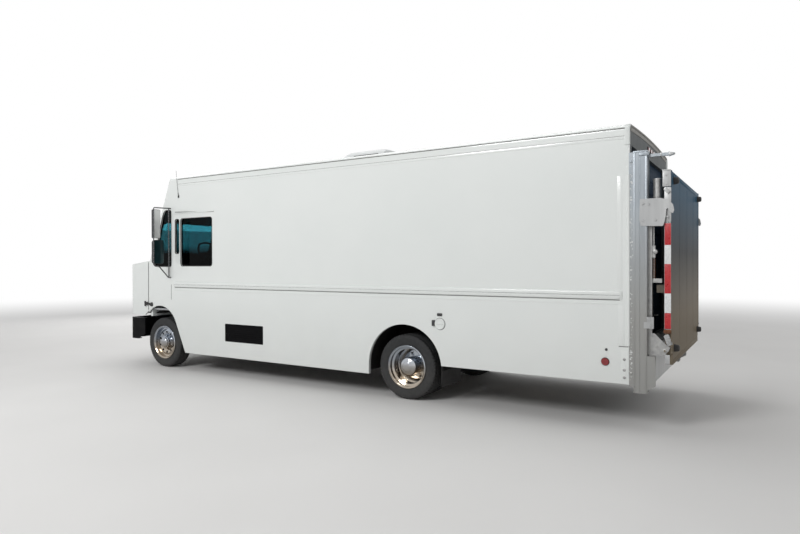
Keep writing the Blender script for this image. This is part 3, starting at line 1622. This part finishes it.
@dataclass(frozen=True)
class Seats:
    """The driver's seat cushions: crowned, pleated forms in place of the plain pads."""

    y: float = 0.64

    def pad(self, centre: Vec, half: Vec, tilt: float, pleats: tuple[float, ...], bolster: float) -> Surface:
        """Build one pad as a superellipsoid with pleats and raised bolsters.

        P(u, v) = c + T (a C(u) C(v), b C(u) S(v), c S(u)), where C and S are signed powers of
        cosine and sine; the soft side's depth falls by a Gaussian at each pleat and grows with
        |b|^4 toward the bolsters. T leans the pad back by the tilt.

        Args:
            centre: Middle of the pad.
            half: Half sizes along the pad's length, width and depth.
            tilt: Lean about Y in degrees; 0 lies flat with its soft side up.
            pleats: Places of the pleats along the length, from -1 to 1.
            bolster: Share by which the bolsters stand out.

        Returns:
            The closed pad.
        """
        u = np.linspace(-np.pi / 2 * 0.985, np.pi / 2 * 0.985, 49)[:, None]
        v = (np.arange(112) * 2 * np.pi / 112)[None]

        def power(value: np.ndarray, exponent: float) -> np.ndarray:
            """Return the signed power of a value."""
            return np.sign(value) * np.abs(value) ** exponent

        length = power(np.cos(u), 0.32) * power(np.cos(v), 0.28)
        width = power(np.cos(u), 0.32) * power(np.sin(v), 0.28)
        depth = power(np.sin(u), 0.45) * np.ones_like(v)
        soft = depth > 0
        groove = sum(np.exp(-(((length - place) / 0.035) ** 2)) for place in pleats)
        seam = np.exp(-(((np.abs(width) - 0.66) / 0.03) ** 2))
        crown = 1 + 0.10 * (1 - length**2) + bolster * width**4
        inside = (np.abs(width) < 0.66) * 1.0
        depth = np.where(soft, depth * crown - 0.10 * groove * inside - 0.13 * seam, depth)
        local = np.stack([length * half[0], width * half[1], depth * half[2]], -1)
        lean = np.radians(tilt)
        x = local[..., 0] * np.cos(lean) + local[..., 2] * np.sin(lean)
        z = -local[..., 0] * np.sin(lean) + local[..., 2] * np.cos(lean)
        return grid(points_of(x, local[..., 1], z) + np.array(centre))

    def piping(self) -> Surface:
        """Build the corded edge of the seat pad.

        Returns:
            The loop.
        """
        corners = rect_corners(0.375, 0.475)
        path = rounded_path(Seat.top(2.515, self.y, 1.268).place(corners, 0.0), 0.05, 6, True)
        return sweep(path, circle(0.0042, 8), (0, 0, 1), True)

    def build(self) -> None:
        """Make the two pads and the piping."""
        base = self.pad((2.512, self.y, 1.2385), (0.196, 0.238, 0.0575), 0.0, (-0.45, 0.0, 0.45), 0.14)
        back = self.pad((2.176, self.y, 1.570), (0.375, 0.222, 0.062), -98.7 + 180,
                        (-0.6, -0.25, 0.1, 0.45), 0.16)
        for name, pad in (("seat_pad", base), ("back_pad", back)):
            piece = make(name, pad, "seat_cloth", "body", 60)
            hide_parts("seat_cushions")
        make("seat_piping", self.piping(), "black_rubber", "body")


@dataclass(frozen=True)
class SideFittings:
    """Fuel cap with its door hinge, the vent plugs, the stud and the aerial."""

    cap: Span = (-1.680, 0.938)
    y: float = HALF_WIDTH + 0.0003

    def white(self) -> Surface:
        """Build the white fuel cap: a rolled edge, a dished face and a grip bar.

        Returns:
            The surface.
        """
        seat = Seat.left(*self.cap, self.y)
        shape = [(0.064, 0.0), (0.066, 0.004), (0.0655, 0.010), (0.062, 0.0145), (0.056, 0.0155),
                 (0.050, 0.013), (0.030, 0.012), (0.010, 0.012)]
        grip = plate(Seat.left(*self.cap, self.y + 0.011), round_rect(0.082, 0.018, 0.008), 0.009, 0.004)
        return joined(lathe(seat, shape, 48), grip)

    def dark(self) -> Surface:
        """Build the cap's shadow ring, the hinge block, the plug plate, the stud and the aerial.

        Returns:
            The fittings of the left side.
        """
        ring = lathe(Seat.left(*self.cap, self.y), [(0.070, 0.0), (0.070, 0.0012), (0.066, 0.0016)], 48)
        hinge = plate(Seat.left(-1.5975, 0.9455, self.y), round_rect(0.033, 0.067, 0.006), 0.022, 0.004)
        panel = plate(Seat.left(-1.676, 1.045, self.y), round_rect(0.066, 0.034, 0.006), 0.006, 0.002)
        shape = [(0.0125, 0.0), (0.0125, 0.006), (0.009, 0.0085), (0.003, 0.009)]
        plugs = [lathe(Seat.left(-1.676 + dx, 1.045, self.y + 0.005), shape, 18) for dx in (-0.016, 0.016)]
        stud = dome(Seat.left(-3.548, 0.778, self.y), 0.014, 0.010, 18)
        foot = plate(Seat.left(2.905, 2.685, self.y), round_rect(0.026, 0.040, 0.008), 0.011, 0.004)
        t = np.linspace(0, 1, 9)[:, None]
        mast = np.array([[2.905, 1.197, 2.69]]) * (1 - t) + np.array([[2.955, 1.197, 3.09]]) * t
        mast[:, 0] += 0.004 * np.sin(np.pi * t[:, 0])
        aerial = tube(mast, 0.0022, (0, 1, 0), 8)
        collar = tube(mast[:2], 0.0055, (0, 1, 0), 10)
        return joined(ring, hinge, panel, *plugs, stud, foot, aerial, collar)

    def build(self) -> None:
        """Make the fittings in place of their plain solids."""
        white = make("fuel_cap", self.white(), "body_white", "body", 40)
        dark = make("side_fittings_dark", self.dark(), "black_plastic", "body")
        for piece in (white, dark):
            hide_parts("side_fittings")


@dataclass(frozen=True)
class GateDress:
    """The rear lift gate's rails, tape, chains, bolts and bumpers."""

    lift_y: float = 1.100
    post_x: float = -4.010
    post_z: float = 2.150
    deck_x: Span = (-4.141, -4.078)
    deck_middle: float = -4.1095
    deck_half: float = 1.166
    deck_z: Span = (0.659, 2.520)
    tape_marks: tuple[float, ...] = (2.015, 1.807, 1.627, 1.347, 1.162, 1.010)
    seed: int = 11

    def column_lips(self) -> Surface:
        """Build the rolled lips, the groove lines and the cap plates of both columns.

        Returns:
            The parts of both columns, and the clamp on the left one.
        """
        lips = [strip(Seat.left(x, 1.5425), width, 2.33, 0.0032, 0.0012, 0.0015)
                for x, width in ((-3.920, 0.015), (-3.861, 0.004), (-3.8125, 0.014))]
        cap = plate(Seat.top(-3.8665, 1.130, 2.7101), round_rect(0.138, 0.130, 0.006), 0.010, 0.002)
        bolts = [bolt(Seat.left(-3.784, z), 0.009) for z in (0.56, 2.62)]
        rib = plate(Seat.rear(1.161, 1.54, -3.9281), round_rect(0.012, 2.30, 0.003, 3), 0.004, 0.0012)
        clamp = plate(Seat.left(-3.90, 2.685), round_rect(0.09, 0.030, 0.004), 0.009, 0.003)
        return joined(both(*lips, cap, *bolts, rib), clamp)

    def sealant(self) -> Surface:
        """Build uneven dabs of sealant down the mount angles, as domes of random size.

        Returns:
            The surface.
        """
        rng = np.random.default_rng(self.seed)
        parts = []
        for side in SIDES.values():
            for radius, count in ((0.0035, 60), (0.006, 34), (0.009, 16)):
                z = rng.uniform(0.46, 2.69, count)
                x = -3.7835 + rng.normal(0, 0.009, count).clip(-0.017, 0.017)
                feet = points_of(x, HALF_WIDTH - 0.0002, z)
                parts.append(studs(feet, (0, 1, 0), radius, 0.0018, 7).on_side(side))
        return joined(*parts)

    def hook_bolts(self) -> Surface:
        """Build the bolts of the hook plates and brackets."""
        places = ((-3.895, 2.205), (-3.895, 2.045), (-4.005, 2.045), (-3.944, 1.092), (-3.962, 1.036))
        return both(*(bolt(Seat.left(x, z, 1.198), 0.010) for x, z in places))

    def carriage(self) -> Surface:
        """Build chain pins, post rings, knob rims and pivot bolts of the lifting carriage.

        Returns:
            The fittings of both sides.
        """
        pitch = (self.post_z - 1.806 - 0.0006) / 8
        pin = [(0.0048, 0.0), (0.0048, 0.019), (0.0035, 0.0195)]
        parts = [lathe(Seat.left(-3.974, 1.8085 + row * pitch * 0.985 + 0.004, self.lift_y - 0.0095), pin, 12)
                 for row in range(9)]
        ring = [(0.0402, 0.0), (0.0425, 0.002), (0.0425, 0.008), (0.0402, 0.010)]
        parts += [lathe(Seat.top(self.post_x, self.lift_y, self.post_z + z), ring, 32)
                  for z in (0.012, 0.120, 0.205, 0.262)]
        cap = [(0.044, 0.0), (0.043, 0.004), (0.030, 0.007), (0.016, 0.0075)]
        knob = [(0.0225, -0.012), (0.024, -0.006), (0.022, 0.001), (0.014, 0.004), (0.004, 0.0045)]
        pivot = [(0.019, 0.0), (0.019, 0.003), (0.016, 0.0045)]
        bolts = [bolt(Seat.left(x, z, self.lift_y + 0.029), 0.009)
                 for x, z in ((-3.965, 0.78), (-3.965, 0.925), (-4.01, 0.83))]
        return both(
            *parts,
            lathe(Seat.top(self.post_x, self.lift_y, 2.444), cap, 32),
            lathe(Seat.left(-3.990, 1.745, self.lift_y + 0.028), knob),
            *bolts,
            lathe(Seat.left(-4.078, 0.795, self.lift_y + 0.0292), pivot),
        )

    def spring(self) -> Surface:
        """Build the coil round the stay: P(t) = (x + R cos t, y + R sin t, z + p t).

        Returns:
            The coils.
        """
        t = np.linspace(0, 2 * np.pi * 13, 13 * 16)
        path = points_of(-3.978 + 0.0125 * np.cos(t), self.lift_y + 0.0125 * np.sin(t),
                         1.494 + 0.188 * t / t[-1])
        return both(tube(path, 0.0028, (0, 0, 1), 8))

    def deck_frame(self) -> Surface:
        """Build the deck's side rails."""
        return both(strip(Seat.left(self.deck_middle, 1.5125, self.deck_half), 0.060, 1.015))

    def deck_border(self) -> Surface:
        """Build the border of the deck's back face and its upright plank seams.

        Returns:
            The surface.
        """
        low, high = self.deck_z
        back = self.deck_x[0]
        seams = [strip(Seat.rear(y, (low + high) / 2 - 0.01, back), 0.004, high - low - 0.14,
                       0.0008, 0.0003, 0.0015) for y in (-0.58, 0.0, 0.58)]
        return joined(
            both(strip(Seat.rear(1.146, 1.655, back), 0.036, 1.72)),
            strip(Seat.rear(0, 2.480, back), 2.26, 0.036),
            strip(Seat.rear(0, 0.690, back), 2.10, 0.040),
            *seams,
        )

    def deck_hinges(self) -> Surface:
        """Build the brackets, catches and links on the deck's two ends.

        Returns:
            The fittings of both ends.
        """
        half = self.deck_half
        tilted = Seat((-4.104, half, 2.325), (-0.70, 0.0, -0.714), (-0.714, 0.0, 0.70))
        leaning = Seat((-4.112, half, 0.905), (-0.94, 0.0, 0.34), (-0.34, 0.0, -0.94))
        pins = [bolt(Seat.left(x, z, half + y), 0.009)
                for x, y, z in ((-4.115, 0.0101, 0.930), (-4.109, 0.0101, 0.880), (-4.097, 0.0161, 2.470),
                                (-4.097, 0.0161, 2.385))]
        return both(
            plate(Seat.left(-4.101, 2.440, half), round_rect(0.074, 0.160, 0.006), 0.016, 0.004),
            plate(Seat.left(-4.101, 2.515, half + 0.015), round_rect(0.078, 0.012, 0.004), 0.006, 0.002),
            plate(tilted, round_rect(0.060, 0.034, 0.006), 0.020, 0.004),
            strip(Seat.left(self.deck_middle, 2.190, half), 0.061, 0.33),
            strip(Seat.left(-4.106, 0.720, half), 0.042, 0.090, 0.004, 0.002),
            plate(leaning, round_rect(0.048, 0.105, 0.012), 0.010, 0.003),
            *pins,
        )

    def deck_rust(self) -> Surface:
        """Build the rusty hinge blocks below the tape.

        Returns:
            The surface.
        """
        block = plate(Seat.left(-4.106, 0.985, self.deck_half), round_rect(0.066, 0.036, 0.010), 0.014, 0.005)
        pin = Seat.left(-4.088, 0.985, self.deck_half + 0.013)
        return both(block, lathe(pin, [(0.011, 0.0), (0.011, 0.006), (0.005, 0.009)]))

    def tread(self) -> Surface:
        """Build the deck's grip: rows of low studs over the face that people stand on.

        Returns:
            The studs.
        """
        y, z = np.meshgrid(np.linspace(-1.02, 1.02, 35), np.linspace(1.02, 2.46, 25))
        y = y + 0.015 * (np.arange(25)[:, None] % 2)
        seats = points_of(self.deck_x[1] - 0.0003, y.ravel(), z.ravel())
        return studs(seats, (1, 0, 0), 0.009, 0.0022, 7)

    def tape(self, red: bool) -> Surface:
        """Build the red or the white lengths of tape on the deck's edges.

        Args:
            red: Whether to build the red ones.

        Returns:
            The lengths on both sides.
        """
        lengths = list(zip(self.tape_marks[:-1], self.tape_marks[1:]))[0 if red else 1::2]
        return both(*(strip(Seat.left(self.deck_middle, (top + low) / 2, self.deck_half + 0.0021),
                            0.056, top - low - 0.0006, 0.0012, 0.0004, 0.001) for top, low in lengths))

    def bumpers(self) -> Surface:
        """Build the four rubber stops, each a tapered dome with a screw recess.

        Returns:
            The stops.
        """
        shape = [(0.037, 0.0), (0.037, 0.006), (0.034, 0.020), (0.032, 0.036), (0.027, 0.045),
                 (0.018, 0.0485), (0.010, 0.0485), (0.008, 0.040)]
        return both(*(lathe(Seat.rear(y, z, self.deck_x[0] - 0.0003), shape, 28)
                      for y, z in ((1.015, 2.430), (0.985, 0.812))))

    def lamp(self) -> Surface:
        """Build the loading lamp's lens hood and cable gland on its bar.

        Returns:
            The surface.
        """
        hood = plate(Seat.left(-4.137, 2.6705, 1.170), round_rect(0.040, 0.024, 0.006), 0.003, 0.001)
        gland = lathe(Seat.rear(1.150, 2.671, -4.1612),
                      [(0.009, 0.0), (0.011, 0.004), (0.009, 0.010), (0.003, 0.012)])
        band = gasket(Seat.front(1.150, 2.6705, -4.05), rect_corners(0.031, 0.030), 0.004, 0.006, 0.012)
        return joined(hood, gland, band)

    def build(self) -> None:
        """Make the gate's pieces on their three bodies."""
        make("column_lips", self.column_lips(), "mill_rail", "body")
        make("column_sealant", self.sealant(), "sealant", "body")
        make("hook_bolts", self.hook_bolts(), "bright_sheet", "body", 30)
        make("lamp_head", self.lamp(), "bright_sheet", "body")
        make("carriage_fittings", self.carriage(), "steel_dull", "gate_carriage", 30)
        make("stay_springs", self.spring(), "rust", "gate_carriage")
        make("deck_frame", self.deck_frame(), "bright_sheet", "gate_platform")
        make("deck_border", self.deck_border(), "deck_sheet", "gate_platform")
        make("deck_hinges", self.deck_hinges(), "bright_sheet", "gate_platform", 30)
        make("deck_rust", self.deck_rust(), "rust", "gate_platform", 30)
        make("deck_tread", self.tread(), "deck_sheet", "gate_platform")
        make("deck_tape_red", self.tape(True), "red_tape", "gate_platform")
        make("deck_tape_white", self.tape(False), "white_tape", "gate_platform")
        stops = make("deck_stops", self.bumpers(), "black_rubber", "gate_platform", 50)
        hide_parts("platform_bumpers")


@dataclass(frozen=True)
class RearEnd:
    """Load door slats, lamp rims and the bed's treads."""

    door_x: float = -3.718

    def door(self) -> Surface:
        """Build the load door's slats and its lock plate.

        Returns:
            The slats and the plate.
        """
        slats = [plate(Seat.rear(0, z, self.door_x), round_rect(2.088, 0.142, 0.006, 3), 0.0045, 0.003)
                 for z in np.arange(0.885, 2.80, 0.148)]
        lock = plate(Seat.rear(0, 0.885, self.door_x - 0.0045), round_rect(0.24, 0.07, 0.012), 0.006, 0.002)
        return joined(*slats, lock)

    def lock(self) -> Surface:
        """Build the door's turning handle and its two pull grips.

        Returns:
            The handle on its boss, and the grips.
        """
        lever = np.array([[-3.729, -0.07, 0.885], [-3.745, -0.02, 0.885], [-3.745, 0.09, 0.872]])
        boss = lathe(Seat.rear(-0.07, 0.885, -3.7285), [(0.022, 0), (0.020, 0.006), (0.008, 0.008)])
        parts = [tube(rounded_path(lever, 0.02), 0.007), boss]
        for y in (-0.55, 0.55):
            grip = points_of(np.array([-3.7225, -3.750, -3.750, -3.7225]),
                             np.array([y - 0.07, y - 0.06, y + 0.06, y + 0.07]), 1.0)
            parts.append(tube(rounded_path(grip, 0.02), 0.006))
        return joined(*parts)

    def rims(self) -> Surface:
        """Build the rubber rims of the rear and side lamps.

        Returns:
            The rims.
        """
        parts = [gasket(Seat.rear(y, 2.905, -3.7632), rect_corners(0.092, 0.048), 0.012, 0.010, 0.012)
                 for y in (-0.15, 0.0, 0.15)]
        shape = [(0.064, 0.0), (0.064, 0.005), (0.058, 0.008), (0.0505, 0.0085), (0.0505, 0.0005)]
        parts += [lathe(Seat.rear(y, 0.56, -3.9252), shape, 40) for y in (-0.96, 0.96)]
        ring = spun(np.array([[1.1895, 0.0415], [1.1935, 0.0405], [1.1955, 0.0375], [1.1935, 0.0355],
                              [1.1895, 0.0355]]), -3.538, 0.658, 40)
        return joined(*parts, both(ring))

    def treads(self) -> Surface:
        """Build raised anti-slip bars on the bed between the floor and the platform."""
        return joined(*(strip(Seat.top(x, 0, 0.797), 0.008, 2.08, 0.003, 0.0015)
                        for x in np.linspace(-3.905, -3.785, 7)))

    def build(self) -> None:
        """Make the rear pieces."""
        make("load_door_slats", self.door(), "door_sheet", "body", 30)
        make("load_door_lock", self.lock(), "steel_dull", "body")
        make("rear_lamp_rims", self.rims(), "black_rubber", "body", 50)
        make("bed_treads", self.treads(), "bright_sheet", "body")


@dataclass(frozen=True)
class FrontEnd:
    """Hood seam, catches, grille wires, lamp rims and bumper trim."""

    nose: float = 4.150
    seam: float = 3.6575

    def seam_rubber(self) -> Surface:
        """Build the rubber strip in the hood's seam: up one side, over the top and down again.

        Returns:
            The strip.
        """
        side = points_of(self.seam, 1.1890, np.array([0.90, 1.30, 1.668]))
        top = points_of(self.seam, np.array([1.168, 0.6, 0.0]), 1.6885)
        half = np.concatenate([side, top])
        path = np.concatenate([half, half[-2::-1] * (1, -1, 1)])
        return sweep(path, round_rect(0.008, 0.010, 0.002, 2), (1, 0, 0))

    def latches(self) -> Surface:
        """Build the rubber hood catches, a T handle on each side of the hood.

        Returns:
            The surface.
        """
        return both(
            plate(Seat.left(3.690, 1.000, 1.202), round_rect(0.064, 0.052, 0.018), 0.018, 0.007),
            plate(Seat.left(3.708, 1.000, 1.212), round_rect(0.030, 0.084, 0.012), 0.014, 0.006),
        )

    def straps(self) -> Surface:
        """Build the catches' bases and straps on the cab's side.

        Returns:
            The surface.
        """
        return both(
            plate(Seat.left(3.576, 0.988, 1.1905), round_rect(0.062, 0.056, 0.018), 0.020, 0.007),
            plate(Seat.left(3.624, 0.995, 1.1905), round_rect(0.080, 0.030, 0.010), 0.016, 0.006),
        )

    def grille(self) -> Surface:
        """Build the grille's raised surround and fine upright wires behind its bars.

        Returns:
            The surface.
        """
        rim = gasket(Seat.front(0, 1.175, self.nose + 0.008), rect_corners(1.012, 0.462), 0.02, 0.020, 0.010)
        wires = [tube(points_of(self.nose - 0.018, y, np.array([0.955, 1.395])), 0.0018, (1, 0, 0), 6)
                 for y in np.linspace(-0.48, 0.48, 49)]
        return joined(rim, *wires)

    def lamp_rims(self) -> Surface:
        """Build bright rims round the headlamps."""
        shape = [(0.110, 0.0), (0.110, 0.004), (0.104, 0.009), (0.097, 0.010), (0.0955, 0.004), (0.0955, 0.0)]
        return both(lathe(Seat.front(0.820, 1.130, self.nose + 0.0002), shape, 56))

    def bumper(self) -> Surface:
        """Build the bumper's step pads, its bolts and a blank plate holder.

        Returns:
            The surface.
        """
        pads = [strip(Seat.top(4.150, y, 0.7632), 0.050, 0.42, 0.003) for y in (-0.62, 0.62)]
        holder = gasket(Seat.front(0, 0.600, 4.1905), rect_corners(0.300, 0.150), 0.012, 0.008, 0.008)
        bolts = [bolt(Seat.front(y, z, 4.1901)) for y in (-0.86, -0.42, 0.42, 0.86) for z in (0.50, 0.68)]
        return joined(*pads, holder, *bolts)

    def build(self) -> None:
        """Make the front pieces on the cab and on the hood."""
        make("hood_seam_rubber", self.seam_rubber(), "seam_black", "body")
        make("hood_catches", self.latches(), "black_rubber", "hood", 50)
        make("hood_straps", self.straps(), "black_rubber", "body", 50)
        make("grille_wires", self.grille(), "black_plastic", "hood")
        make("headlamp_rims", self.lamp_rims(), "chrome", "hood")
        make("bumper_trim", self.bumper(), "bumper_black", "body")


@dataclass(frozen=True)
class SideOpenings:
    """The serving hatch's rim, locks and shelf rail, and the entry door's fittings."""

    hatch_x: Span = (-1.25, 0.90)
    hatch_z: Span = (1.42, 2.35)

    def hatch_frame(self) -> Surface:
        """Build the aluminium rim pressed round the hatch.

        Returns:
            The rim.
        """
        seat = Seat.left(sum(self.hatch_x) / 2, sum(self.hatch_z) / 2, HALF_WIDTH + 0.001)
        width, height = self.hatch_x[1] - self.hatch_x[0] - 0.03, self.hatch_z[1] - self.hatch_z[0] - 0.03
        return gasket(seat, rect_corners(width, height), 0.02, 0.022, 0.006).mirrored()

    def hatch_pulls(self) -> Surface:
        """Build the hatch's two turning locks with their grips.

        Returns:
            The surface.
        """
        shape = [(0.020, 0.0), (0.020, 0.005), (0.015, 0.009), (0.006, 0.010)]
        parts = []
        for x in (-0.96, 0.61):
            seat = Seat.left(x, 1.475, HALF_WIDTH + 0.008)
            grip = plate(seat, round_rect(0.050, 0.012, 0.005), 0.010, 0.004)
            parts += [lathe(Seat.left(x, 1.475), shape), grip]
        return joined(*parts).mirrored()

    def shelf(self) -> Surface:
        """Build the shelf rail below the hatch, as a slim rounded lip."""
        return strip(Seat.left(-0.175, 1.385), 2.05, 0.020, 0.016, 0.006).mirrored()

    def door_fittings(self) -> Surface:
        """Build the entry door's lock and the three ribs at its foot.

        Returns:
            The surface.
        """
        lock = lathe(Seat.left(2.648, 0.985, 1.1402), [(0.016, 0.0), (0.016, 0.0015), (0.006, 0.0024)])
        ribs = [strip(Seat.left(2.305, z, 1.1402), 0.56, 0.010, 0.002) for z in (0.56, 0.62, 0.68)]
        return joined(lock, *ribs).mirrored()

    def build(self) -> None:
        """Make the pieces of the hatch and of the door."""
        make("hatch_rim", self.hatch_frame(), "bright_sheet", "serving_hatch", 50)
        make("hatch_pulls", self.hatch_pulls(), "steel_dull", "serving_hatch")
        make("hatch_shelf_rail", self.shelf(), "bright_sheet", "body")
        make("door_fittings", self.door_fittings(), "steel_dull", "entry_door")


@dataclass(frozen=True)
class Cab:
    """Gauges, switches and pedals."""

    def gauges(self) -> Surface:
        """Build the gauge rims and a row of switches on the dashboard's rear face.

        Returns:
            The surface.
        """
        shape = np.array([[1.12, 0.0], [1.12, 0.006], [1.0, 0.009], [0.96, 0.004], [0.5, 0.004]])
        parts = [lathe(Seat.rear(y, z, 3.306), (shape * (radius, 1.0)).tolist(), 28)
                 for y, z, radius in ((0.53, 1.70, 0.045), (0.66, 1.70, 0.045), (0.41, 1.71, 0.028),
                                      (0.77, 1.71, 0.028))]
        parts += [plate(Seat.rear(y, 1.60, 3.290), round_rect(0.030, 0.016, 0.004), 0.006, 0.002)
                  for y in np.linspace(-0.25, 0.22, 8)]
        return joined(*parts)

    def pedals(self) -> Surface:
        """Build the brake and the throttle pedals with their arms.

        Returns:
            The pedals.
        """
        parts = []
        for y, width in ((0.42, 0.11), (0.55, 0.06)):
            tilt = Seat((3.33, y, 0.90), (0, -1, 0), (0.5, 0, 0.866))
            arm = points_of(np.array([3.335, 3.40, 3.44]), y, np.array([0.90, 0.99, 1.31]))
            parts += [plate(tilt, round_rect(width, 0.12, 0.012), 0.010, 0.003),
                      tube(rounded_path(arm, 0.05), 0.007, (0, 1, 0))]
        return joined(*parts)

    def build(self) -> None:
        """Make the cab's small parts."""
        make("dash_gauges", self.gauges(), "dash_plastic", "body")
        make("pedals", self.pedals(), "black_rubber", "body")


def main() -> None:
    """Build every piece over the CAD part, dress it and set the studio."""
    logging.basicConfig(level=logging.INFO, format="%(message)s")
    dress_cad_nodes()
    for piece in (BodyTrim(), Windows(), Wheels(), Underbody(), Louvre(), RoofUnit(), Seats(), SideFittings(),
                  GateDress(), RearEnd(), FrontEnd(), SideOpenings(), Cab()):
        piece.build()
        log.info("built %s", type(piece).__name__)
    Studio().build()


if __name__ == "__main__":
    main()
